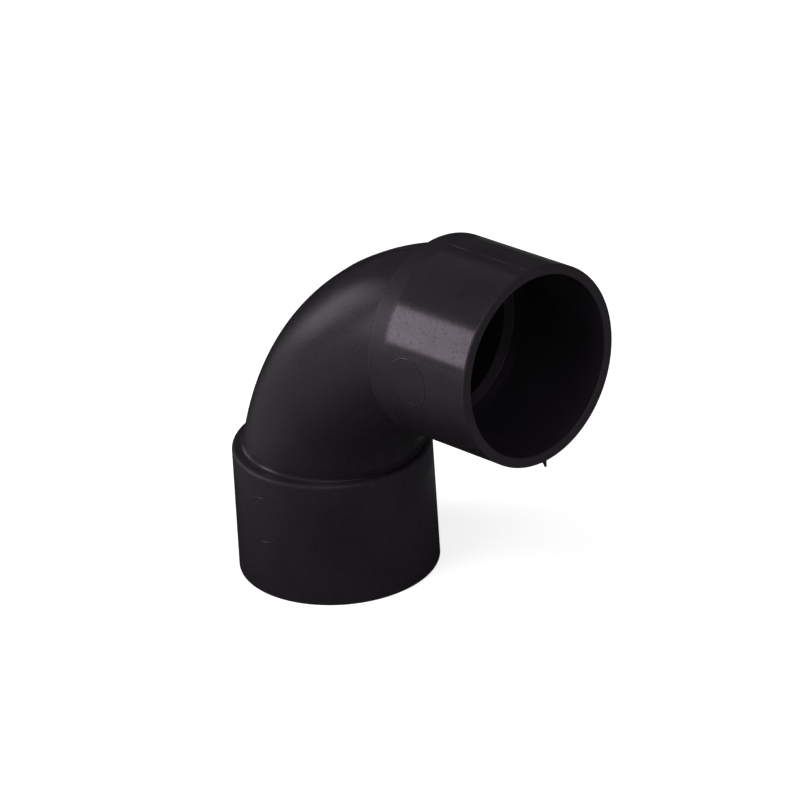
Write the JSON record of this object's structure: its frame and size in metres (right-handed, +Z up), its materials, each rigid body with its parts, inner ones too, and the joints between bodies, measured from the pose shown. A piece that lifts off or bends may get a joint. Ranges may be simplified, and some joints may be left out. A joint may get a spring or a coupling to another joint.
{
  "type": "waste pipe bend",
  "caption": "Swept pipe bend of a little under a right angle, with a plain solvent-weld socket and a pipe stop at each end.",
  "frame": {"origin": "under the middle of the part's box, on the plane of the lower socket's mouth that the bend stands on", "axes": "+Z up along the lower socket's axis, +X the way the upper socket faces, Y across the parting plane"},
  "size_m": [0.0972, 0.0484, 0.0992],
  "materials": {
    "moulded_abs": "satin black, as moulded"
  },
  "bodies": {
    "root": {"pipe_bend": "moulded_abs"}
  },
  "joints": []
}
